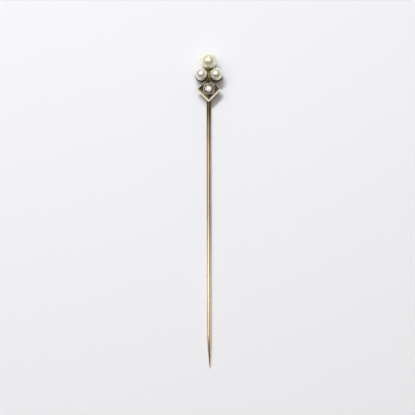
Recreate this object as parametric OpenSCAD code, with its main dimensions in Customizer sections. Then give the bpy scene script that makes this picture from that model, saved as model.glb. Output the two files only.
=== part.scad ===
// Trefoil stick pin: three pearls over a square setting with one round stone, on a straight
// pointed stem. The pin lies on its back: stem along Y, head towards +Y, front facing +Z, and the
// origin is the middle of its footprint on the surface that it lies on.

/* [Overall] */
// Length from the point of the stem to the far side of the top pearl
overall_len = 62.1; // [56:0.1:72]

/* [Stem] */
// Diameter of the stem wire
stem_d = 0.86; // [0.8:0.02:0.9]
// Side of the square tenon that the stem is filed down to where it enters the head
tenon_side = 0.6; // [0.5:0.02:0.6]
// Length of the tapered point
point_len = 6.4; // [4:0.1:10]
// Diameter left at the very end of the point
tip_d = 0.1; // [0.06:0.01:0.2]

/* [Square setting] */
// Side of the square front plate, which stands on one corner
plate_side = 3; // [2.9:0.02:3.04]
// Thickness of the front plate
plate_t = 0.26; // [0.2:0.02:0.4]
// Height of the front plate's face above the surface that the pin lies on
setting_h = 2.8; // [2.7:0.05:3.2]
// Height of the sloped gold bezel that the plate lies on
bezel_h = 0.8; // [0.5:0.05:0.85]
// How far each side of the bezel slopes out from the plate to its back
bezel_flare = 0.24; // [0.1:0.02:0.26]
// Side of the square gallery that carries the bezel
gallery_side = 2.6; // [2.6:0.02:2.8]
// Thickness of the gallery's walls
gallery_wall = 0.15; // [0.1:0.01:0.16]

/* [Stone] */
// Diameter of the stone at its girdle
stone_d = 2; // [1.7:0.02:2]
// Thickness of the ring that holds the stone
collet_t = 0.1; // [0.08:0.01:0.12]
// How far the ring laps over the edge of the stone
collet_lap = 0.07; // [0.04:0.01:0.1]

/* [Beaded border] */
// Diameter of one bead of the border
bead_d = 0.2; // [0.14:0.01:0.2]
// Number of beads along one side of the plate
beads_per_side = 11; // [7:1:12]

/* [Pearls] */
// Diameter of the top pearl
top_pearl_d = 3.1; // [2.8:0.05:3.1]
// Diameter of the two lower pearls
low_pearl_d = 2.5; // [2.2:0.05:2.5]
// Distance from the stone's centre to the top pearl's centre, along the stem
top_pearl_up = 5.45; // [5.45:0.01:6]
// Distance from the stone's centre to the lower pearls' centres, along the stem
low_pearl_up = 2.94; // [2.94:0.02:3.04]
// Distance of each lower pearl's centre from the stem's axis
low_pearl_side = 1.45; // [1.45:0.01:1.6]

/* [Cups and posts] */
// Thickness of the cups' walls round the pearls
cup_t = 0.13; // [0.1:0.01:0.13]
// How far the top cup's rim lies below its pearl's centre, as a share of the pearl's radius
top_rim_drop = 0.6; // [0.6:0.05:0.8]
// The same for the two lower cups
low_rim_drop = 0.45; // [0.35:0.05:0.8]
// Diameter of the posts that the pearls are fixed on
peg_d = 0.5; // [0.4:0.02:0.6]
// Thickness of the trefoil plate behind the cups
trefoil_t = 0.26; // [0.2:0.02:0.35]
// Diameter of the trefoil plate's lobe behind each cup
lobe_d = 1.6; // [1.3:0.05:1.8]

/* [Hidden] */
$fn = 64;
eps = 0.01;

gold = "#d9b382";
white_metal = "#6b675c";
cream = "#efe6c4";
silver_white = "#e2e2da";
green_white = "#dde0cf";

// Places along the stem
tip_y = -overall_len / 2;
top_pearl_y = overall_len / 2 - top_pearl_d / 2;
stone_y = top_pearl_y - top_pearl_up;
low_pearl_y = stone_y + low_pearl_up;
stem_shoulder_y = stone_y - gallery_side / sqrt(2);
stem_end_y = top_pearl_y - 0.52;

// Heights above the surface that the pin lies on
stem_z = stem_d / 2;
trefoil_z = stem_z + tenon_side / 2;
cup_foot_z = trefoil_z + trefoil_t;
pearl_seat_z = cup_foot_z + 0.08 + cup_t;
plate_back_z = setting_h - plate_t;
bezel_back_z = plate_back_z - bezel_h;

// The stone, as an old European cut: a small table, a high crown and a cut-off culet
stone_r = stone_d / 2;
table_r = 0.5 * stone_r;
culet_r = 0.07 * stone_r;
girdle_t = 0.06 * stone_r;
crown_angle = 34;
pavilion_angle = 46;
girdle_z = setting_h - 0.06;
girdle_top_z = girdle_z + girdle_t;
table_z = girdle_top_z + (stone_r - table_r) * tan(crown_angle);
culet_z = girdle_z - (stone_r - culet_r) * tan(pavilion_angle);

// Corners between the kites, at the heights that keep each kite flat
star_r = 0.74 * stone_r;
star_z = girdle_top_z + (stone_r - star_r * cos(22.5)) * tan(crown_angle);
lower_r = 0.36 * stone_r;
lower_z = girdle_z - (stone_r - lower_r * cos(22.5)) * tan(pavilion_angle);

// The ring round the stone
collet_r = stone_r + collet_t;
collet_back_z = culet_z - 0.12;
collet_top_z = girdle_top_z + 0.13;
seat_depth = 0.12;

// The rivet head behind the trefoil plate on each post
rivet_d = 0.8;
rivet_t = 0.14;

// Turns a shape made along +Z to run from the head towards the point
module along_stem(from_y)
  translate([0, from_y, stem_z]) rotate([90, 0, 0]) children();

// A square that stands on one corner
module lozenge(side)
  rotate(45) square(side, center = true);

// Radius of the point at a share t of its length, from a full wire at 0 to the tip at 1
function point_r(t) = tip_d / 2 + (stem_d - tip_d) / 2 * (1 - pow(t, 1.6));

// Round wire stem with a square tenon at the head and a tapered point
module pin_stem() {
  stem_len = stem_shoulder_y - tip_y;
  taper = [for (t = [0:0.1:1]) [point_r(t), stem_len - point_len * (1 - t)]];
  outline = concat([[0, 0], [stem_d / 2, 0]], taper, [[0, stem_len]]);
  color(gold) union() {
    along_stem(stem_shoulder_y) rotate_extrude() polygon(outline);
    translate([-tenon_side / 2, stem_shoulder_y - eps, stem_z - tenon_side / 2])
      cube([tenon_side, stem_end_y - stem_shoulder_y + eps, tenon_side]);
  }
}

// The opening through the gallery and the bezel, which the ring round the stone hangs in
module setting_opening() {
  translate([0, stone_y, 0]) linear_extrude(2 * setting_h) lozenge(gallery_side - 2 * gallery_wall);
}

// Square tube that stands on the stem's tenon and carries the bezel
module gallery() {
  color(gold) difference() {
    translate([0, stone_y, trefoil_z]) linear_extrude(bezel_back_z - trefoil_z) lozenge(gallery_side);
    setting_opening();
  }
}

// Square frame under the plate, with sides that slope out towards its back
module bezel() {
  bezel_side = plate_side + 2 * bezel_flare;
  color(gold) difference() {
    translate([0, stone_y, bezel_back_z])
      linear_extrude(bezel_h, scale = plate_side / bezel_side) lozenge(bezel_side);
    setting_opening();
  }
}

// White-metal plate that covers the front of the bezel, bored for the ring round the stone
module setting_plate() {
  color(white_metal) translate([0, stone_y, plate_back_z]) difference() {
    linear_extrude(plate_t) lozenge(plate_side);
    translate([0, 0, -eps]) cylinder(r = collet_r, h = plate_t + 2 * eps);
  }
}

// Ring with a bearing under the stone's girdle and a lip turned in over its edge
module stone_collet() {
  seat_r = stone_r - seat_depth;
  lip_r = stone_r - collet_lap;
  seat_z = girdle_z - seat_depth * tan(pavilion_angle);
  lip_z = girdle_top_z + 0.03 + collet_lap * tan(crown_angle);
  color(white_metal) translate([0, stone_y, 0]) rotate_extrude() polygon([
    [seat_r, collet_back_z], [collet_r, collet_back_z], [collet_r, collet_top_z - 0.04],
    [collet_r - 0.04, collet_top_z], [lip_r, collet_top_z], [lip_r, lip_z],
    [stone_r, girdle_top_z + 0.03], [stone_r, girdle_z], [seat_r, seat_z]
  ]);
}

// One ring of corners round the stone's axis, at radius r and height z
function ring(count, first, r, z) =
  [for (i = [0:count - 1]) let (a = first + i * 360 / count) [r * cos(a), r * sin(a), z]];

// Round brilliant-cut stone: each main facet is a kite, with star and girdle facets between the kites
module diamond() {
  corners = concat(
    ring(8, 0, table_r, table_z),
    ring(8, 22.5, star_r, star_z),
    ring(16, 0, stone_r, girdle_top_z),
    ring(16, 0, stone_r, girdle_z),
    ring(8, 22.5, lower_r, lower_z),
    ring(8, 0, culet_r, culet_z)
  );
  table = 0;
  star = 8;
  top = 16;
  bottom = 32;
  lower = 48;
  culet = 56;
  facets = concat(
    [[for (i = [7:-1:0]) table + i], [for (i = [0:7]) culet + i]],
    [for (i = [0:7]) [table + i, table + (i + 1) % 8, star + i]],
    [for (i = [0:7]) [table + i, star + i, top + 2 * i, star + (i + 7) % 8]],
    [for (i = [0:7]) [star + i, top + 2 * i + 1, top + 2 * i]],
    [for (i = [0:7]) [star + i, top + (2 * i + 2) % 16, top + 2 * i + 1]],
    [for (i = [0:15]) [top + i, top + (i + 1) % 16, bottom + (i + 1) % 16, bottom + i]],
    [for (i = [0:7]) [lower + i, bottom + 2 * i, bottom + 2 * i + 1]],
    [for (i = [0:7]) [lower + i, bottom + 2 * i + 1, bottom + (2 * i + 2) % 16]],
    [for (i = [0:7]) [culet + i, lower + (i + 7) % 8, bottom + 2 * i, lower + i]],
    [for (i = [0:7]) [culet + i, lower + i, culet + (i + 1) % 8]]
  );
  color("white") translate([0, stone_y, 0]) polyhedron(corners, facets);
}

// Row of half-round beads along each side of the front plate
module milgrain_border() {
  inset = bead_d / 2 + 0.04;
  row_half = plate_side / 2 - inset;
  pitch = 2 * row_half / beads_per_side;
  color(white_metal) translate([0, stone_y, setting_h])
    for (side = [0:3], i = [0:beads_per_side - 1])
      rotate(45 + 90 * side) translate([row_half - i * pitch, row_half, 0]) difference() {
        sphere(d = bead_d);
        translate([0, 0, -bead_d]) cube(2 * bead_d, center = true);
      }
}

// Puts a child where the named pearl stands
module at_top_pearl() translate([0, top_pearl_y, 0]) children();
module at_low_pearl(side) translate([side * low_pearl_side, low_pearl_y, 0]) children();

// Flat trefoil that carries the cups, with a tongue that meets the gallery's upper corner
module trefoil_plate() {
  tongue_w = 1.2;
  hub_y = stone_y + 3.7;
  color(gold) translate([0, 0, trefoil_z]) difference() {
    linear_extrude(trefoil_t) difference() {
      union() {
        at_top_pearl() circle(d = lobe_d);
        at_low_pearl(-1) circle(d = lobe_d);
        at_low_pearl(1) circle(d = lobe_d);
        translate([0, hub_y]) circle(d = 2);
        translate([-tongue_w / 2, stone_y]) square([tongue_w, top_pearl_up]);
      }
      translate([0, stone_y]) lozenge(gallery_side);
    }
    for (side = [-1, 1]) at_low_pearl(side) translate([0, 0, -eps]) cylinder(d = peg_d, h = 1);
    at_top_pearl() translate([0, 0, -eps]) cylinder(d = peg_d, h = 1);
  }
}

// Straight-sided cup, dished for a pearl to sit in, with a hole for the post
module cup(pearl_d, rim_drop) {
  pearl_r = pearl_d / 2;
  centre_z = pearl_seat_z + pearl_r;
  rim_z = centre_z - rim_drop * pearl_r;
  outer_r = sqrt(pow(pearl_r + cup_t, 2) - pow(rim_drop * pearl_r, 2));
  color(gold) difference() {
    translate([0, 0, cup_foot_z]) cylinder(r = outer_r, h = rim_z - cup_foot_z);
    translate([0, 0, centre_z]) sphere(r = pearl_r);
    translate([0, 0, cup_foot_z - eps]) cylinder(d = peg_d, h = pearl_r);
  }
}

// Height of the top of the post inside a pearl
function peg_top_z(pearl_d) = pearl_seat_z + 0.62 * pearl_d;

// Wire post from its rivet head behind the trefoil plate up into the pearl
module peg(pearl_d) {
  color(gold) union() {
    translate([0, 0, trefoil_z]) cylinder(d = peg_d, h = peg_top_z(pearl_d) - trefoil_z);
    translate([0, 0, trefoil_z - rivet_t]) cylinder(d1 = rivet_d - 0.2, d2 = rivet_d, h = rivet_t);
  }
}

// Round pearl, drilled part of the way through from the back
module pearl(pearl_d, tint) {
  color(tint) difference() {
    translate([0, 0, pearl_seat_z + pearl_d / 2]) sphere(d = pearl_d);
    translate([0, 0, pearl_seat_z - 1]) cylinder(d = peg_d, h = peg_top_z(pearl_d) - pearl_seat_z + 1);
  }
}

pin_stem();
gallery();
bezel();
setting_plate();
stone_collet();
diamond();
milgrain_border();
trefoil_plate();
at_top_pearl() cup(top_pearl_d, top_rim_drop);  // cup_top
at_low_pearl(-1) cup(low_pearl_d, low_rim_drop);  // cup_left
at_low_pearl(1) cup(low_pearl_d, low_rim_drop);  // cup_right
at_top_pearl() peg(top_pearl_d);  // peg_top
at_low_pearl(-1) peg(low_pearl_d);  // peg_left
at_low_pearl(1) peg(low_pearl_d);  // peg_right
at_top_pearl() pearl(top_pearl_d, cream);  // pearl_top
at_low_pearl(-1) pearl(low_pearl_d, silver_white);  // pearl_left
at_low_pearl(1) pearl(low_pearl_d, green_white);  // pearl_right
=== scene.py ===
"""A gold stick pin with three pearls over a square setting, lying on a pale surface.

The pin lies along Y with its head towards +Y and its front facing +Z. Every length is in metres, and
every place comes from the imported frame. Each visible piece is made here at full detail and stands for
one CAD node. Only the solder where the stem meets the head has no CAD node.
"""

import math
import random

import bmesh
import bpy
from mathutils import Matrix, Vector, noise


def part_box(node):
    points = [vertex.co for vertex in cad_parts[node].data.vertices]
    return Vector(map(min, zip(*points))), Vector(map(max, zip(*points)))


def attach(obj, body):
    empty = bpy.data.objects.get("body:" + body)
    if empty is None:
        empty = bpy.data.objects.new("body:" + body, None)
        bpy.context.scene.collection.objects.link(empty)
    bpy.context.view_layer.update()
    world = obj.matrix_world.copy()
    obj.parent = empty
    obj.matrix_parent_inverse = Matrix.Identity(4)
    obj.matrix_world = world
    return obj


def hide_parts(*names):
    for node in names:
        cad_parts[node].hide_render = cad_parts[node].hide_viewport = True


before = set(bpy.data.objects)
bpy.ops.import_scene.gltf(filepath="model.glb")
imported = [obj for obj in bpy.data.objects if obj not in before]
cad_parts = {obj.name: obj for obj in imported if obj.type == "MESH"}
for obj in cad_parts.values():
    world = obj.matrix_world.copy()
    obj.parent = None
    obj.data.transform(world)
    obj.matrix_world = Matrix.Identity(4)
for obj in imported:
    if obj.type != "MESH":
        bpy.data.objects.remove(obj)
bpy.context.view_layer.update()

MM = 0.001
BODY = "root"


# ---------------------------------------------------------------- dimensions


class Span:
    """The box of one CAD node: its two corners, its centre and its size."""

    def __init__(self, node):
        self.low, self.high = (Vector(corner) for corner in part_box(node))
        self.centre = (self.low + self.high) / 2
        self.size = self.high - self.low


STEM = Span("pin_stem")
GALLERY = Span("gallery")
BEZEL = Span("bezel")
PLATE = Span("setting_plate")
COLLET = Span("stone_collet")
STONE = Span("diamond")
BEADS = Span("milgrain_border")
TREFOIL = Span("trefoil_plate")
PEARLS = {side: Span("pearl_" + side) for side in ("top", "left", "right")}
CUPS = {side: Span("cup_" + side) for side in PEARLS}
PEGS = {side: Span("peg_" + side) for side in PEARLS}

# Sizes that no box shows, the same as in the CAD.
POINT_LEN = 6.4 * MM
TIP_R = 0.05 * MM
PEG_R = 0.25 * MM
LOBE_R = 0.8 * MM
HUB_R = 1.0 * MM
HUB_UP = 3.7 * MM
TONGUE_HALF = 0.6 * MM
GALLERY_WALL = 0.15 * MM
GIRDLE_DOWN = 0.06 * MM
BEADS_PER_SIDE = 11

# The stone's cut, as shares of its radius.
GIRDLE_SHARE = 0.06
TABLE_SHARE = 0.5
STAR_SHARE = 0.74
LOWER_SHARE = 0.36
CULET_SHARE = 0.07

# Sizes and places worked out from the boxes.
STEM_R = STEM.size.x / 2
STEM_AXIS_Z = STEM_R
SHOULDER_Y = GALLERY.low.y
TENON_HALF = TREFOIL.low.z - STEM_AXIS_Z
HEAD_CENTRE = Vector((0, GALLERY.centre.y, 0))
STONE_R = STONE.size.x / 2
RING_R = COLLET.size.x / 2
GIRDLE_Z = PLATE.high.z - GIRDLE_DOWN

# Half diagonals of the square pieces, which stand on one corner.
GALLERY_OUTER = GALLERY.size.x / 2
GALLERY_INNER = GALLERY_OUTER - GALLERY_WALL * math.sqrt(2)
PLATE_OUTER = PLATE.size.x / 2
BEZEL_OUTER = BEZEL.size.x / 2


# ---------------------------------------------------------------- colours

# Dark colours painted where ambient occlusion finds hollows, corners and gaps between parts: painted shade,
# with dirt, and with oxide on the plate.
GOLD_SHADE_AND_GRIME = (0.06, 0.035, 0.015)
PLATE_SHADE_AND_OXIDE = (0.015, 0.012, 0.008)
RING_SHADE_AND_GRIME = (0.06, 0.05, 0.035)

# The room: near its horizon, overhead, a bright panel, a wall, and people in shade.
ROOM_LOW = (1.25, 1.16, 1.08)
ROOM_HIGH = (0.62, 0.55, 0.49)
PANEL = (3.2, 3.0, 2.75)
WALL = (0.42, 0.37, 0.32)
SHADE = (0.02, 0.018, 0.016)


# ---------------------------------------------------------------- room, light and camera settings

# Patches of the room, each as the slopes of its middle from straight up, its half sizes and the
# softness of its edge.
PANEL_PATCH = ((-0.50, 0.16), (0.95, 0.44), 0.08)
WALL_PATCH = ((-3.9, 0.0), (2.3, 4.0), 0.30)
PERSON_PATCH = ((0.10, -1.40), (1.50, 1.10), 0.08)
SHOULDER_PATCH = ((1.35, -0.05), (0.90, 0.42), 0.12)
ROOM_STRENGTH = 0.485

KEY_TOWARDS = (-0.46, 1.02, 1.95)
KEY_DISTANCE = 0.5
KEY_SIZE = (0.21, 0.04)
KEY_POWER = 1.79
KEY_COLOUR = (0.90, 0.95, 1.0)

FLOOR_HALF = 1.5
CAMERA_PLACE = (-0.24 * MM, 0.84 * MM, 124 * MM)
VIEW_WIDTH = 83 * MM
SENSOR_WIDTH = 36


# ---------------------------------------------------------------- node helpers


def new_material(name):
    """An empty node material with its output and a Principled shader."""
    material = bpy.data.materials.new(name)
    material.use_nodes = True
    tree = material.node_tree
    tree.nodes.clear()
    out = tree.nodes.new("ShaderNodeOutputMaterial")
    shader = tree.nodes.new("ShaderNodeBsdfPrincipled")
    tree.links.new(shader.outputs[0], out.inputs["Surface"])
    return material, tree, shader


def position_mm(tree, scale=(1, 1, 1)):
    """The point on the object in millimetres, stretched by scale."""
    coords = tree.nodes.new("ShaderNodeTexCoord")
    mapping = tree.nodes.new("ShaderNodeMapping")
    mapping.inputs["Scale"].default_value = [s / MM for s in scale]
    tree.links.new(coords.outputs["Object"], mapping.inputs["Vector"])
    return mapping.outputs["Vector"]


def noise_at(tree, vector, scale, detail, roughness=0.55):
    """Noise from 0 to 1 at a number of features per millimetre."""
    node = tree.nodes.new("ShaderNodeTexNoise")
    node.inputs["Scale"].default_value = scale
    node.inputs["Detail"].default_value = detail
    node.inputs["Roughness"].default_value = roughness
    tree.links.new(vector, node.inputs["Vector"])
    return node.outputs["Fac"]


def remap(tree, value, low, high, to_low, to_high):
    """Value taken from one range to another, and held inside it."""
    node = tree.nodes.new("ShaderNodeMapRange")
    for socket, number in zip(("From Min", "From Max", "To Min", "To Max"), (low, high, to_low, to_high)):
        node.inputs[socket].default_value = number
    tree.links.new(value, node.inputs["Value"])
    return node.outputs["Result"]


def blend_colours(tree, share, first, second):
    """A colour between two, each given as a colour or as a socket."""
    node = tree.nodes.new("ShaderNodeMix")
    node.data_type = "RGBA"
    tree.links.new(share, node.inputs["Factor"])
    for socket, colour in ((node.inputs[6], first), (node.inputs[7], second)):
        if isinstance(colour, bpy.types.NodeSocket):
            tree.links.new(colour, socket)
        else:
            socket.default_value = (*colour, 1)
    return node.outputs[2]


def calculate(tree, operation, *values):
    """The result of a Math node on sockets and numbers."""
    node = tree.nodes.new("ShaderNodeMath")
    node.operation = operation
    for socket, value in zip(node.inputs, values):
        if isinstance(value, bpy.types.NodeSocket):
            tree.links.new(value, socket)
        else:
            socket.default_value = value
    return node.outputs[0]


def bump(tree, shader, height, depth_mm):
    """Sends a height from 0 to 1 to the shader's normal."""
    node = tree.nodes.new("ShaderNodeBump")
    node.inputs["Distance"].default_value = depth_mm * MM
    node.inputs["Strength"].default_value = 1.0
    tree.links.new(height, node.inputs["Height"])
    tree.links.new(node.outputs["Normal"], shader.inputs["Normal"])


def occlusion_shade(tree):
    """Ambient occlusion as a mask for painted shade: 1 in hollows, corners and gaps between parts, 0 on open
    faces.
    """
    node = tree.nodes.new("ShaderNodeAmbientOcclusion")
    node.samples = 8
    node.inputs["Distance"].default_value = 0.35 * MM
    return calculate(tree, "SUBTRACT", 1.0, node.outputs["AO"])


# ---------------------------------------------------------------- materials


def gold_material(name, clean, warm, rough, lengthwise=False, skin=None, painted_shade_share=None):
    """Worn gold: warm patches, fine scratches, painted shade with dirt in the corners, and a dark colour
    painted as shade where one is given.
    """
    material, tree, shader = new_material(name)
    along = 0.12 if lengthwise else 1.0
    broad = noise_at(tree, position_mm(tree, (1, along, 1)), scale=0.9, detail=4.0)
    patches = remap(tree, broad, 0.35, 0.7, 0.0, 1.0)
    drawn = position_mm(tree, (1, along * 0.5, 1))
    scratches = noise_at(tree, drawn, scale=26.0, detail=4.0, roughness=0.7)
    pits = noise_at(tree, position_mm(tree), scale=9.0, detail=2.0)
    metal = blend_colours(tree, patches, clean, warm)
    # A dark colour painted as shade, blended in by the share that the caller gives.
    if skin is not None:
        metal = blend_colours(tree, painted_shade_share(tree), metal, skin)
    # Painted shade with dirt: darker where ambient occlusion finds corners and nearby parts.
    shade_and_grime = remap(tree, occlusion_shade(tree), 0.22, 0.75, 0.0, 0.85)
    tree.links.new(blend_colours(tree, shade_and_grime, metal, GOLD_SHADE_AND_GRIME), shader.inputs["Base Color"])
    shader.inputs["Metallic"].default_value = 1.0
    worn = remap(tree, scratches, 0.3, 0.75, rough - 0.06, rough + 0.10)
    dulled = calculate(tree, "ADD", worn, calculate(tree, "MULTIPLY", shade_and_grime, 0.25))
    tree.links.new(dulled, shader.inputs["Roughness"])
    relief = calculate(tree, "MULTIPLY", calculate(tree, "ADD", scratches, pits), 0.6)
    bump(tree, shader, relief, depth_mm=0.004)
    return material


def place_along_pin(tree, unevenness_mm):
    """The Y of the point on the object, wandering a little so that no change is a straight line."""
    coords = tree.nodes.new("ShaderNodeTexCoord")
    parts = tree.nodes.new("ShaderNodeSeparateXYZ")
    tree.links.new(coords.outputs["Object"], parts.inputs[0])
    wander = noise_at(tree, position_mm(tree, (1, 0.3, 1)), scale=0.8, detail=3.0)
    reach = unevenness_mm * MM
    return calculate(tree, "ADD", parts.outputs["Y"], remap(tree, wander, 0.3, 0.7, -reach, reach))


def stem_painted_shade(tree):
    """How dark the stem is painted: heavily below the head, as painted shade where the head's shadow falls,
    by half along the middle, as a painted darker reflection, and clean near the point.
    """
    place = place_along_pin(tree, 1.5)
    near = remap(tree, place, SHOULDER_Y - 11 * MM, SHOULDER_Y - 1.5 * MM, 0.0, 0.45)
    far = remap(tree, place, SHOULDER_Y - 34 * MM, SHOULDER_Y - 23 * MM, 0.0, 0.52)
    return calculate(tree, "ADD", near, far)


def back_plate_shade(tree):
    """How dark the trefoil plate is painted: black as painted shade in the angle at the gallery, open gold
    between the pearls.
    """
    place = place_along_pin(tree, 0.15)
    corner = GALLERY.high.y
    return remap(tree, place, corner + 0.25 * MM, corner + 1.3 * MM, 0.93, 0.0)


def plate_material():
    """Darkened white metal: black oxide with painted shade in the cuts and corners, rubbed bright on the
    edges, with a bronze cast.
    """
    material, tree, shader = new_material("darkened_white_metal")
    point = position_mm(tree)
    stain = remap(tree, noise_at(tree, point, scale=1.6, detail=4.0), 0.45, 0.60, 0.0, 1.0)
    body = blend_colours(tree, stain, (0.014, 0.012, 0.009), (0.085, 0.062, 0.026))
    geometry = tree.nodes.new("ShaderNodeNewGeometry")
    rubbed = remap(tree, geometry.outputs["Pointiness"], 0.53, 0.58, 0.0, 1.0)
    bright = blend_colours(tree, rubbed, body, (0.34, 0.30, 0.215))
    # Painted shade with black oxide: darker in the cuts and where ambient occlusion finds nearby parts.
    shade_and_grime = remap(tree, occlusion_shade(tree), 0.2, 0.8, 0.0, 0.85)
    tree.links.new(blend_colours(tree, shade_and_grime, bright, PLATE_SHADE_AND_OXIDE), shader.inputs["Base Color"])
    shader.inputs["Metallic"].default_value = 1.0
    grain = noise_at(tree, point, scale=22.0, detail=3.0, roughness=0.65)
    tree.links.new(remap(tree, grain, 0.3, 0.75, 0.24, 0.42), shader.inputs["Roughness"])
    bump(tree, shader, grain, depth_mm=0.004)
    return material


def ring_material():
    """Bright-cut white metal for the ring round the stone."""
    material, tree, shader = new_material("bright_cut_white_metal")
    point = position_mm(tree)
    worn = noise_at(tree, point, scale=6.0, detail=3.0)
    # Painted shade with dirt: darker where ambient occlusion finds hollows and nearby parts.
    shade_and_grime = remap(tree, occlusion_shade(tree), 0.45, 0.95, 0.0, 0.8)
    metal = blend_colours(tree, worn, (0.24, 0.22, 0.175), (0.13, 0.115, 0.085))
    tree.links.new(blend_colours(tree, shade_and_grime, metal, RING_SHADE_AND_GRIME), shader.inputs["Base Color"])
    shader.inputs["Metallic"].default_value = 1.0
    tree.links.new(remap(tree, worn, 0.3, 0.7, 0.28, 0.42), shader.inputs["Roughness"])
    bump(tree, shader, noise_at(tree, point, scale=18.0, detail=2.0), depth_mm=0.003)
    return material


def diamond_material():
    """Clear cut stone, with the faintest warm tint of an old diamond."""
    material, tree, shader = new_material("cut_stone")
    cloud = noise_at(tree, position_mm(tree), scale=0.8, detail=1.0)
    tint = blend_colours(tree, cloud, (0.90, 0.895, 0.87), (0.86, 0.85, 0.82))
    tree.links.new(tint, shader.inputs["Base Color"])
    shader.inputs["Roughness"].default_value = 0.0
    shader.inputs["IOR"].default_value = 2.417
    shader.inputs["Transmission Weight"].default_value = 1.0
    return material


def pearl_material(name, lustre, body, overtone, edge):
    """Nacre: a lustrous skin over a soft body, with overtones that drift across it and a paler rim painted
    in as sheen where the surface turns away.
    """
    material, tree, shader = new_material(name)
    point = position_mm(tree)
    drift = remap(tree, noise_at(tree, point, scale=0.55, detail=2.0), 0.35, 0.65, 0.0, 1.0)
    fine = noise_at(tree, position_mm(tree, (1, 1, 2.5)), scale=7.0, detail=5.0, roughness=0.6)
    cloudy = blend_colours(tree, drift, body, overtone)
    mottled = blend_colours(tree, remap(tree, fine, 0.35, 0.75, 0.0, 0.25), cloudy, edge)
    # Painted sheen: the colour turns to the edge colour towards the outline, where the surface faces away.
    facing = tree.nodes.new("ShaderNodeLayerWeight")
    facing.inputs["Blend"].default_value = 0.35
    rim = remap(tree, facing.outputs["Facing"], 0.30, 0.95, 0.0, 0.85)
    tree.links.new(blend_colours(tree, rim, mottled, edge), shader.inputs["Base Color"])
    shader.inputs["Metallic"].default_value = lustre
    tree.links.new(remap(tree, fine, 0.3, 0.75, 0.12, 0.18), shader.inputs["Roughness"])
    shader.inputs["IOR"].default_value = 1.66
    shader.inputs["Subsurface Weight"].default_value = 0.25
    shader.inputs["Subsurface Radius"].default_value = (1.0, 0.85, 0.65)
    shader.inputs["Subsurface Scale"].default_value = 0.5 * MM
    shader.inputs["Coat Weight"].default_value = 0.5
    shader.inputs["Coat Roughness"].default_value = 0.06
    shader.inputs["Coat IOR"].default_value = 1.55
    bump(tree, shader, fine, depth_mm=0.002)
    return material


def floor_material():
    """Matt white surface with a barely visible tooth."""
    material, tree, shader = new_material("pale_surface")
    tooth = noise_at(tree, position_mm(tree), scale=1.2, detail=3.0)
    colour = blend_colours(tree, tooth, (0.795, 0.797, 0.832), (0.81, 0.812, 0.847))
    tree.links.new(colour, shader.inputs["Base Color"])
    shader.inputs["Roughness"].default_value = 0.75
    shader.inputs["Specular IOR Level"].default_value = 0.2
    bump(tree, shader, tooth, depth_mm=0.01)
    return material


# ---------------------------------------------------------------- mesh helpers


def add_to_scene(name, data):
    """A new object in the scene, from its data."""
    thing = bpy.data.objects.new(name, data)
    bpy.context.scene.collection.objects.link(thing)
    return thing


def to_object(bm, name, material, sharp_degrees=None):
    """Turns a bmesh into an object with smooth shading, except across edges sharper than the angle."""
    bmesh.ops.recalc_face_normals(bm, faces=bm.faces)
    mesh = bpy.data.meshes.new(name)
    bm.to_mesh(mesh)
    bm.free()
    for face in mesh.polygons:
        face.use_smooth = True
    if sharp_degrees is not None:
        mesh.set_sharp_from_angle(angle=math.radians(sharp_degrees))
    mesh.materials.append(material)
    return add_to_scene(name, mesh)


def stands_for(piece, node):
    """Puts a piece in the place of the CAD node that it details."""
    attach(piece, BODY)
    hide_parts(node)
    return piece


def circle(x, y, radius, count=72, first_degrees=0.0):
    """Corners (x, y) of a round outline."""
    turns = (math.radians(first_degrees + 360 * i / count) for i in range(count))
    return [(x + radius * math.cos(a), y + radius * math.sin(a)) for a in turns]


def rectangle(low_x, low_y, high_x, high_y):
    """Corners (x, y) of a rectangle."""
    return [(low_x, low_y), (high_x, low_y), (high_x, high_y), (low_x, high_y)]


def lozenge(half_diagonal, corner_r=0.0, steps=6):
    """Corners (x, y) of a square that stands on one corner round the stone, rounded by a radius."""
    points = []
    inner = half_diagonal - corner_r * math.sqrt(2)
    for quarter in range(4):
        middle = math.radians(90 * quarter)
        x, y = inner * math.cos(middle), HEAD_CENTRE.y + inner * math.sin(middle)
        if corner_r == 0:
            points.append((x, y))
            continue
        for step in range(steps + 1):
            a = middle + math.radians(-45 + 90 * step / steps)
            points.append((x + corner_r * math.cos(a), y + corner_r * math.sin(a)))
    return points


def add_loop(bm, outline, height):
    """Adds the corners of an outline at one height."""
    return [bm.verts.new((x, y, height)) for x, y in outline]


def join_loops(bm, loops, closed=False):
    """Adds faces between each loop and the next. A loop of one corner is a pole."""
    pairs = list(zip(loops, loops[1:]))
    if closed:
        pairs.append((loops[-1], loops[0]))
    for near, far in pairs:
        for i in range(max(len(near), len(far))):
            j = i + 1
            corners = (near[i % len(near)], near[j % len(near)], far[j % len(far)], far[i % len(far)])
            bm.faces.new(dict.fromkeys(corners))


def turned(profile, at, segments, closed):
    """Turns a profile of (radius, height) round a vertical axis. A closed profile runs back to its start."""
    bm = bmesh.new()
    loops = []
    for radius, height in profile:
        pole = radius < 1e-9
        outline = [(at.x, at.y)] if pole else circle(at.x, at.y, radius, segments)
        loops.append(add_loop(bm, outline, height))
    join_loops(bm, loops, closed)
    return bm


def arc(centre_r, centre_z, radius, start, end, steps):
    """Points of (radius, height) along an arc, with angles in degrees from the outward direction."""
    angles = (math.radians(start + (end - start) * i / steps) for i in range(steps + 1))
    return [(centre_r + radius * math.cos(a), centre_z + radius * math.sin(a)) for a in angles]


def prism(outline, bottom, top):
    """A throwaway object for shaping with, as a closed prism over an outline."""
    bm = bmesh.new()
    lower, upper = add_loop(bm, outline, bottom), add_loop(bm, outline, top)
    bm.faces.new(lower[::-1])
    bm.faces.new(upper)
    join_loops(bm, [lower, upper])
    mesh = bpy.data.meshes.new("tool")
    bm.to_mesh(mesh)
    bm.free()
    return add_to_scene("tool", mesh)


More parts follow.
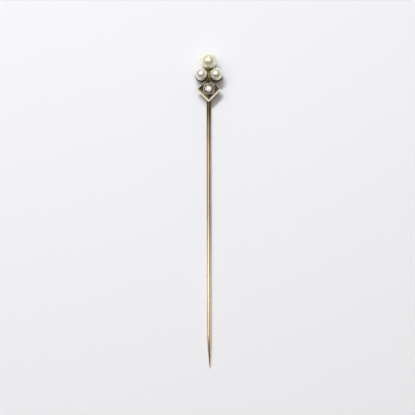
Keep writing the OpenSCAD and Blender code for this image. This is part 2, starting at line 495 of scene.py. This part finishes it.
def shape_with(base, tools, bevel):
    """Adds and cuts tools in turn, rounds the edges, and gives the result as a bmesh."""
    weld = 1e-7
    for operation, tool in tools:
        modifier = base.modifiers.new(operation, "BOOLEAN")
        modifier.operation = operation
        modifier.solver = "EXACT"
        modifier.object = tool
    rounding = base.modifiers.new("rounding", "BEVEL")
    rounding.width = bevel
    rounding.segments = 3
    rounding.limit_method = "ANGLE"
    rounding.angle_limit = math.radians(40)
    shaped = base.evaluated_get(bpy.context.evaluated_depsgraph_get())
    bm = bmesh.new()
    bm.from_mesh(shaped.to_mesh())
    for throwaway in [base] + [tool for _, tool in tools]:
        bpy.data.objects.remove(throwaway)
    bmesh.ops.remove_doubles(bm, verts=bm.verts, dist=weld)
    bmesh.ops.triangulate(bm, faces=[face for face in bm.faces if len(face.verts) > 4])
    return bm


# ---------------------------------------------------------------- the pin's pieces


def point_share(y):
    """How far along the tapered point a place is, from 0 where it starts to 1 at the tip."""
    return max(0.0, min(1.0, (STEM.low.y + POINT_LEN - y) / POINT_LEN))


def wire_aside(y):
    """How far the wire lies to one side: filed off its axis at the point, and bent and leaning a little."""
    filed = 0.18 * MM * point_share(y) ** 1.3
    bent = 0.03 * MM * noise.noise(Vector((3.1, y / (9 * MM), 0)))
    leaning = 0.05 * MM * (SHOULDER_Y - y) / (SHOULDER_Y - STEM.low.y)
    return filed + bent + leaning


def wire_loop(bm, y, sides):
    """One loop of the round wire, with the shallow hollows of drawing and wear."""
    radius = TIP_R + (STEM_R - TIP_R) * (1 - point_share(y) ** 1.6)
    aside = wire_aside(y)
    loop = []
    for x, z in circle(0, 0, 1, sides):
        wobble = noise.noise(Vector((x * 1.3, y / (2.2 * MM), z * 1.3)))
        reach = radius * (1 - 0.012 * (0.5 + 0.5 * wobble))
        loop.append(bm.verts.new((aside + reach * x, y, STEM_AXIS_Z + reach * z)))
    return loop


def tenon_loop(bm, y, share, sides):
    """One loop of the square tenon, at a share of its full size, with its corners broken."""
    corner = 1.36
    loop = []
    for x, z in circle(0, 0, 1, sides):
        reach = share * TENON_HALF * min(1 / max(abs(x), abs(z)), corner)
        loop.append(bm.verts.new((reach * x, y, STEM_AXIS_Z + reach * z)))
    return loop


def build_stem(material):
    """Drawn wire, filed to a point a little off its axis, with a square tenon inside the head."""
    sides, count = 64, 260
    crowding = 1.15  # loops lie closer together towards the point
    wire = [STEM.low.y + (SHOULDER_Y - STEM.low.y) * (i / count) ** crowding for i in range(count + 1)]
    wire.append(SHOULDER_Y + 0.02 * MM)
    tenon = ((SHOULDER_Y + 0.06 * MM, 1.0), (STEM.high.y - 0.05 * MM, 1.0), (STEM.high.y, 0.94))
    bm = bmesh.new()
    loops = [wire_loop(bm, y, sides) for y in wire]
    loops += [tenon_loop(bm, y, share, sides) for y, share in tenon]
    join_loops(bm, loops)
    bm.faces.new(loops[0])
    bm.faces.new(loops[-1])
    return stands_for(to_object(bm, "pin_stem_wire", material, 40), "pin_stem")


def build_stem_solder(material):
    """Solder that closes the wire's end against the gallery's lower corner."""
    # In millimetres: out from the stem's axis, and along it from the gallery's corner.
    profile = [
        (0.0, 0.44), (0.40, 0.44), (0.45, 0.36), (0.47, 0.18), (0.465, 0.0),
        (0.45, -0.12), (0.435, -0.22), (0.42, -0.26), (0.0, -0.26),
    ]
    bm = turned([(r * MM, z * MM) for r, z in profile], Vector((0, 0, 0)), 64, False)
    for vertex in bm.verts:
        x, y, along = vertex.co
        lumpy = 1 + 0.02 * noise.noise(Vector((x, y, along)) / (0.25 * MM))
        vertex.co = (x * lumpy, SHOULDER_Y + along, max(STEM_AXIS_Z + y * lumpy, 0.005 * MM))
    piece = to_object(bm, "stem_solder", material, 60)
    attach(piece, BODY)
    return piece


def square_frame(levels):
    """A closed square frame with mitred corners, from loops of (half diagonal, height, corner radius)."""
    bm = bmesh.new()
    loops = [add_loop(bm, lozenge(reach, corner_r), height) for reach, height, corner_r in levels]
    join_loops(bm, loops, closed=True)
    return bm


def build_gallery(material):
    """Square tube that stands on the stem's tenon and carries the bezel."""
    low, high = GALLERY.low.z, GALLERY.high.z
    edge, inside, outside = 0.02 * MM, 0.02 * MM, 0.05 * MM
    bm = square_frame([
        (GALLERY_INNER, low, inside), (GALLERY_OUTER - edge, low, outside),
        (GALLERY_OUTER, low + edge, outside), (GALLERY_OUTER, high, outside), (GALLERY_INNER, high, inside),
    ])
    return stands_for(to_object(bm, "gallery_gold", material, 35), "gallery")


def build_bezel(material):
    """Square frame under the plate, with polished sides that slope out and a rolled lower edge."""
    low, high = BEZEL.low.z, BEZEL.high.z
    rolled, inside, steps = 0.05 * MM, 0.02 * MM, 8
    levels = [(GALLERY_INNER, low, inside), (BEZEL_OUTER - 0.08 * MM, low, 0.06 * MM)]
    for step in range(steps + 1):
        share = step / steps
        swell = 0.03 * MM * math.sin(math.pi * share)
        tucked = 0.02 * MM * (1 - share)
        reach = BEZEL_OUTER + (PLATE_OUTER - BEZEL_OUTER) * share + swell - tucked
        levels.append((reach, low + rolled + (high - low - rolled) * share, (0.06 + 0.02 * share) * MM))
    levels.append((GALLERY_INNER, high, inside))
    return stands_for(to_object(square_frame(levels), "bezel_gold", material, 35), "bezel")


def angle_from_corner(angle):
    """The angle round the stone, measured from the nearest corner of the plate."""
    return (angle + math.pi / 4) % (math.pi / 2) - math.pi / 4


def fan_cut(angle, radius, reach):
    """Depth of the engraved fans at an angle and radius from the stone's centre. Reach is to the edge."""
    corner = angle_from_corner(angle)
    fan, cuts = math.radians(60), 4
    if abs(corner) > fan / 2:
        return 0.0
    start, end = RING_R + 0.10 * MM, reach - 0.24 * MM
    if not start < radius < end:
        return 0.0
    ramp = min((radius - start) / (0.12 * MM), (end - radius) / (0.08 * MM), 1.0)
    rays = abs(math.cos(corner / fan * math.pi * cuts))
    return 0.11 * MM * ramp * (1 - rays) ** 0.8


def border_cut(to_side):
    """Depth of the line cut inside the plate's edge and of the edge's rounding, by distance to the edge."""
    line = 0.03 * MM * math.exp(-(((to_side - 0.25 * MM) / (0.025 * MM)) ** 2))
    rounding = 0.03 * MM * max(0.0, 1 - to_side / (0.05 * MM)) ** 2
    return line + rounding


def build_plate(material):
    """Square front plate round the stone's ring, with a fan of fine cuts in each corner."""
    around, outward = 512, 44
    bm = bmesh.new()
    loops = []
    for step in range(outward + 1):
        share = step / outward
        loop = []
        for i in range(around):
            a = 2 * math.pi * i / around
            reach = PLATE_OUTER / (abs(math.cos(a)) + abs(math.sin(a)))
            radius = RING_R + (reach - RING_R) * share
            to_side = (reach - radius) * math.cos(math.pi / 4 - abs(angle_from_corner(a)))
            height = PLATE.high.z - fan_cut(a, radius, reach) - border_cut(to_side)
            loop.append(bm.verts.new((radius * math.cos(a), HEAD_CENTRE.y + radius * math.sin(a), height)))
        loops.append(loop)
    outer_back, inner_back = (
        add_loop(bm, [vertex.co.xy for vertex in loop], PLATE.low.z) for loop in (loops[-1], loops[0])
    )
    join_loops(bm, [inner_back] + loops + [outer_back], closed=True)
    return stands_for(to_object(bm, "setting_plate_engraved", material, 50), "setting_plate")


def add_bead(bm, x, y, base, radius, sides=20, rows=7):
    """A closed dome, sunk a little into the plate."""
    sunk = base - 0.03 * MM
    crown = bm.verts.new((x, y, base + radius))
    foot = bm.verts.new((x, y, sunk))
    loops = [[crown]]
    for row in range(1, rows + 1):
        tilt = math.pi / 2 * (row / rows)
        outline = circle(x, y, radius * math.sin(tilt), sides)
        loops.append(add_loop(bm, outline, base + radius * math.cos(tilt)))
    loops += [add_loop(bm, circle(x, y, radius, sides), sunk), [foot]]
    join_loops(bm, loops)


def build_beads(material):
    """Milgrain: a row of half-round beads along each side, each a little different."""
    generator = random.Random(7)
    bead_r = BEADS.size.z
    row_half = PLATE_OUTER / math.sqrt(2) - bead_r - 0.04 * MM
    bm = bmesh.new()
    for side in range(4):
        turn = math.radians(45 + 90 * side)
        for i in range(BEADS_PER_SIDE):
            u = row_half - i * 2 * row_half / BEADS_PER_SIDE
            x = u * math.cos(turn) - row_half * math.sin(turn)
            y = u * math.sin(turn) + row_half * math.cos(turn)
            radius = bead_r * generator.uniform(0.88, 1.06)
            add_bead(bm, x, HEAD_CENTRE.y + y, BEADS.low.z, radius)
    return stands_for(to_object(bm, "milgrain_beads", material), "milgrain_border")


def build_collet(material):
    """Ring round the stone, rubbed over its edge, with fine cuts along the lip."""
    outer, top, back, girdle = RING_R, COLLET.high.z, COLLET.low.z, GIRDLE_Z
    seat = STONE_R - 0.12 * MM
    lip = STONE_R - 0.07 * MM
    cuts, cut_depth = 32, 0.012 * MM
    profile = [
        (seat, back), (outer - 0.02 * MM, back), (outer, back + 0.02 * MM), (outer, top - 0.06 * MM),
        (outer - 0.012 * MM, top - 0.02 * MM), (outer - 0.05 * MM, top), (lip + 0.03 * MM, top - 0.004 * MM),
        (lip, top - 0.03 * MM), (lip + 0.005 * MM, girdle + 0.137 * MM), (STONE_R, girdle + 0.09 * MM),
        (STONE_R, girdle), (seat, girdle - 0.104 * MM),
    ]
    bm = turned(profile, HEAD_CENTRE, 192, True)
    for vertex in bm.verts:
        if vertex.co.z > top - 0.035 * MM:
            a = math.atan2(vertex.co.y - HEAD_CENTRE.y, vertex.co.x)
            vertex.co.z -= cut_depth * (0.5 - 0.5 * math.cos(cuts * a))
    return stands_for(to_object(bm, "stone_collet_ring", material, 40), "stone_collet")


def stone_ring(bm, count, first_degrees, radius, height):
    """One ring of the stone's corners."""
    return add_loop(bm, circle(0, HEAD_CENTRE.y, radius, count, first_degrees), height)


def build_diamond(material):
    """Old European cut: a small table, a high crown and a cut-off culet, with every facet flat."""
    table_r, star_r = TABLE_SHARE * STONE_R, STAR_SHARE * STONE_R
    lower_r, culet_r = LOWER_SHARE * STONE_R, CULET_SHARE * STONE_R
    girdle_top = GIRDLE_Z + GIRDLE_SHARE * STONE_R
    crown = (STONE.high.z - girdle_top) / (STONE_R - table_r)
    pavilion = (GIRDLE_Z - STONE.low.z) / (STONE_R - culet_r)
    half_step = 22.5
    inset = math.cos(math.radians(half_step))
    bm = bmesh.new()
    table = stone_ring(bm, 8, 0, table_r, STONE.high.z)
    star = stone_ring(bm, 8, half_step, star_r, girdle_top + (STONE_R - star_r * inset) * crown)
    top = stone_ring(bm, 16, 0, STONE_R, girdle_top)
    bottom = stone_ring(bm, 16, 0, STONE_R, GIRDLE_Z)
    lower = stone_ring(bm, 8, half_step, lower_r, GIRDLE_Z - (STONE_R - lower_r * inset) * pavilion)
    culet = stone_ring(bm, 8, 0, culet_r, STONE.low.z)
    bm.faces.new(table)
    bm.faces.new(culet)
    for i in range(8):
        after = (i + 1) % 8
        mid, far = 2 * i + 1, (2 * i + 2) % 16
        bm.faces.new((table[i], table[after], star[i]))
        bm.faces.new((table[i], star[i], top[2 * i], star[i - 1]))
        bm.faces.new((star[i], top[mid], top[2 * i]))
        bm.faces.new((star[i], top[far], top[mid]))
        bm.faces.new((lower[i], bottom[2 * i], bottom[mid]))
        bm.faces.new((lower[i], bottom[mid], bottom[far]))
        bm.faces.new((culet[i], lower[i - 1], bottom[2 * i], lower[i]))
        bm.faces.new((culet[i], lower[i], culet[after]))
    join_loops(bm, [top, bottom])
    piece = to_object(bm, "diamond_cut", material)
    for face in piece.data.polygons:
        face.use_smooth = False
    return stands_for(piece, "diamond")


def build_trefoil(material):
    """Back plate with a lobe behind each pearl and a tongue that meets the gallery."""
    bottom, top = TREFOIL.low.z, TREFOIL.high.z
    below, above = -1 * MM, 4 * MM
    base = prism(circle(0, HEAD_CENTRE.y + HUB_UP, HUB_R), bottom, top)
    tools = []
    for pearl in PEARLS.values():
        tools.append(("UNION", prism(circle(pearl.centre.x, pearl.centre.y, LOBE_R), bottom, top)))
    tongue = rectangle(-TONGUE_HALF, HEAD_CENTRE.y, TONGUE_HALF, PEARLS["top"].centre.y)
    tools.append(("UNION", prism(tongue, bottom, top)))
    tools.append(("DIFFERENCE", prism(lozenge(GALLERY_OUTER), below, above)))
    for pearl in PEARLS.values():
        tools.append(("DIFFERENCE", prism(circle(pearl.centre.x, pearl.centre.y, PEG_R, 48), below, above)))
    bm = shape_with(base, tools, 0.03 * MM)
    return stands_for(to_object(bm, "trefoil_plate_gold", material, 35), "trefoil_plate")


def build_cup(side, material):
    """Straight-sided cup, drawn in a little at its waist, with rounded edges and a dish for the pearl."""
    pearl, cup = PEARLS[side], CUPS[side]
    pearl_r, outer_r = pearl.size.z / 2, cup.size.x / 2
    foot, rim = cup.low.z, cup.high.z
    rim_angle = -math.degrees(math.asin((pearl.centre.z - rim) / pearl_r))
    bore_angle = -math.degrees(math.acos(PEG_R / pearl_r))
    dish_r = pearl_r * math.cos(math.radians(rim_angle))
    edge, steps = 0.03 * MM, 16
    wall = [(PEG_R, foot), (outer_r - edge, foot)]
    for step in range(steps + 1):
        share = step / steps
        waist = 0.05 * MM * math.sin(math.pi * share) ** 2
        wall.append((outer_r - waist, foot + edge + (rim - foot - 2 * edge) * share))
    lip = [(outer_r - 0.3 * edge, rim - 0.3 * edge), (outer_r - edge, rim), (dish_r + 0.01 * MM, rim)]
    dish = arc(0, pearl.centre.z, pearl_r, rim_angle - 1, bore_angle, 18)
    bm = turned(wall + lip + dish, pearl.centre, 128, True)
    return stands_for(to_object(bm, f"cup_{side}_dished", material, 45), "cup_" + side)


def build_peg(side, material):
    """Wire post with a domed rivet head behind the trefoil plate."""
    peg = PEGS[side]
    head_r, plate_back = peg.size.x / 2, TREFOIL.low.z
    rise, edge = plate_back - peg.low.z, 0.05 * MM
    turns = [math.radians(degrees) for degrees in range(0, 91, 10)]
    dome = [(head_r * math.sin(a), plate_back - rise * math.cos(a)) for a in turns]
    shaft = [(PEG_R, plate_back), (PEG_R, peg.high.z - edge), (PEG_R - edge, peg.high.z), (0, peg.high.z)]
    bm = turned(dome + shaft, peg.centre, 64, False)
    return stands_for(to_object(bm, f"peg_{side}_wire", material, 45), "peg_" + side)


def build_pearl(side, material, seed):
    """A natural pearl, drilled from the back, and a little out of round wherever it is clear of its cup."""
    pearl, peg = PEARLS[side], PEGS[side]
    radius, centre = pearl.size.z / 2, pearl.centre
    bore_angle = -math.degrees(math.acos(PEG_R / radius))
    skin = arc(0, centre.z, radius, 90, bore_angle, 120)
    skin[0] = (0, skin[0][1])
    drilled = [(PEG_R, peg.high.z), (0, peg.high.z)]
    bm = turned(skin + drilled, centre, 160, False)
    for vertex in bm.verts:
        out = vertex.co - centre
        if out.length < radius * 0.98:
            continue
        direction = out.normalized()
        broad = noise.noise(direction * 0.9 + Vector((seed, 0, 0)))
        small = noise.noise(direction * 3.5 + Vector((0, seed, 0)))
        clear_of_cup = max(0.0, min(1.0, (direction.z + 0.35) / 0.3))
        hollow = 0.018 * (0.5 + 0.5 * broad) + 0.004 * (0.5 + 0.5 * small)
        vertex.co -= direction * radius * clear_of_cup * hollow
    return stands_for(to_object(bm, f"pearl_{side}_nacre", material, 60), "pearl_" + side)


def build_pin():
    """Every piece of the pin, each in its own material."""
    # The stem's dark colour is painted shade below the head and a painted darker reflection along the
    # middle.
    stem_gold = gold_material(
        "worn_stem_gold", clean=(0.98, 0.85, 0.68), warm=(0.92, 0.72, 0.47), rough=0.18,
        lengthwise=True, skin=(0.088, 0.056, 0.018), painted_shade_share=stem_painted_shade,
    )
    wall_gold = gold_material(
        "pale_wall_gold", clean=(0.98, 0.87, 0.68), warm=(0.97, 0.82, 0.60), rough=0.34,
    )
    # Gold darkened as painted shade, for the pieces that lie in the head's shade: the solder, gallery, pegs
    # and lower cups.
    shade_dark_gold = gold_material(
        "gold_darkened_as_shade", clean=(0.12, 0.078, 0.035), warm=(0.058, 0.037, 0.016), rough=0.38,
    )
    cup_gold = gold_material(
        "top_cup_gold", clean=(0.85, 0.73, 0.41), warm=(0.73, 0.61, 0.32), rough=0.38,
    )
    # The back plate's dark gold and its black colour are painted shade, where the head and pearls shade it.
    shaded_back_gold = gold_material(
        "back_plate_shaded_gold", clean=(0.38, 0.30, 0.13), warm=(0.27, 0.21, 0.08), rough=0.36,
        skin=(0.030, 0.018, 0.006), painted_shade_share=back_plate_shade,
    )
    # Each pearl's edge colour is a paler tone in its mottling, and is also painted on its outline as sheen.
    pearls = {
        "top": pearl_material(
            "cream_nacre", lustre=0.48,
            body=(0.90, 0.85, 0.67), overtone=(0.85, 0.86, 0.60), edge=(0.90, 0.89, 0.84),
        ),
        "left": pearl_material(
            "silver_nacre", lustre=0.59,
            body=(0.88, 0.85, 0.78), overtone=(0.86, 0.82, 0.70), edge=(0.86, 0.86, 0.83),
        ),
        "right": pearl_material(
            "green_nacre", lustre=0.62,
            body=(0.79, 0.83, 0.63), overtone=(0.85, 0.83, 0.73), edge=(0.84, 0.85, 0.79),
        ),
    }
    plate = plate_material()
    build_stem(stem_gold)
    build_stem_solder(shade_dark_gold)
    build_gallery(shade_dark_gold)
    build_bezel(wall_gold)
    build_plate(plate)
    build_beads(plate)
    build_collet(ring_material())
    build_diamond(diamond_material())
    build_trefoil(shaded_back_gold)
    for order, side in enumerate(PEARLS):
        # The lower cups take the gold darkened as painted shade; the top cup keeps a brighter gold.
        build_cup(side, cup_gold if side == "top" else shade_dark_gold)
        build_peg(side, shade_dark_gold)
        build_pearl(side, pearls[side], seed=2.7 + 5.3 * order)


# ---------------------------------------------------------------- floor, light and camera


def build_floor():
    """A plain pale surface under the pin."""
    bm = bmesh.new()
    bmesh.ops.create_grid(bm, x_segments=1, y_segments=1, size=FLOOR_HALF)
    floor = to_object(bm, "floor", floor_material())


def sky_patch(tree, across, along, centre, half, edge):
    """1 inside a soft-edged window of sky and 0 outside, placed by its slopes from straight up."""
    shares = []
    for slope, middle, reach in zip((across, along), centre, half):
        off = calculate(tree, "ABSOLUTE", calculate(tree, "SUBTRACT", slope, middle))
        shares.append(remap(tree, off, reach - edge, reach + edge, 1.0, 0.0))
    return calculate(tree, "MULTIPLY", *shares)


def build_room():
    """A pale room with a bright panel overhead, a dim wall, and the dark shapes of people at work."""
    world = bpy.data.worlds.new("room")
    bpy.context.scene.world = world
    world.use_nodes = True
    tree = world.node_tree
    tree.nodes.clear()
    out = tree.nodes.new("ShaderNodeOutputWorld")
    background = tree.nodes.new("ShaderNodeBackground")
    tree.links.new(background.outputs[0], out.inputs["Surface"])
    coords = tree.nodes.new("ShaderNodeTexCoord")
    parts = tree.nodes.new("ShaderNodeSeparateXYZ")
    tree.links.new(coords.outputs["Generated"], parts.inputs[0])
    height = calculate(tree, "MAXIMUM", parts.outputs["Z"], 0.05)
    across = calculate(tree, "DIVIDE", parts.outputs["X"], height)
    along = calculate(tree, "DIVIDE", parts.outputs["Y"], height)
    room = blend_colours(tree, remap(tree, height, 0.1, 0.75, 0.0, 1.0), ROOM_LOW, ROOM_HIGH)
    panel = sky_patch(tree, across, along, *PANEL_PATCH)
    wall = sky_patch(tree, across, along, *WALL_PATCH)
    lit = blend_colours(tree, panel, blend_colours(tree, wall, room, WALL), PANEL)
    person = sky_patch(tree, across, along, *PERSON_PATCH)
    shoulder = sky_patch(tree, across, along, *SHOULDER_PATCH)
    dark = calculate(tree, "MAXIMUM", person, shoulder)
    tree.links.new(blend_colours(tree, dark, lit, SHADE), background.inputs["Color"])
    background.inputs["Strength"].default_value = ROOM_STRENGTH


def build_key():
    """A small window-like light from beyond the head, which throws the shadow."""
    light = bpy.data.lights.new("key", "AREA")
    light.shape = "RECTANGLE"
    light.size, light.size_y = KEY_SIZE
    light.energy = KEY_POWER
    light.color = KEY_COLOUR
    lamp = add_to_scene("key", light)
    lamp.location = HEAD_CENTRE + Vector(KEY_TOWARDS).normalized() * KEY_DISTANCE
    lamp.rotation_euler = (HEAD_CENTRE - lamp.location).to_track_quat("-Z", "Y").to_euler()


def build_camera():
    """A camera straight above the middle of the pin, looking down."""
    data = bpy.data.cameras.new("camera")
    data.sensor_width = SENSOR_WIDTH
    data.lens = SENSOR_WIDTH * CAMERA_PLACE[2] / VIEW_WIDTH
    data.clip_start = 5 * MM
    camera = add_to_scene("camera", data)
    camera.location = CAMERA_PLACE
    bpy.context.scene.camera = camera


bpy.context.scene.view_settings.view_transform = "Standard"
build_pin()
build_floor()
build_room()
build_key()
build_camera()
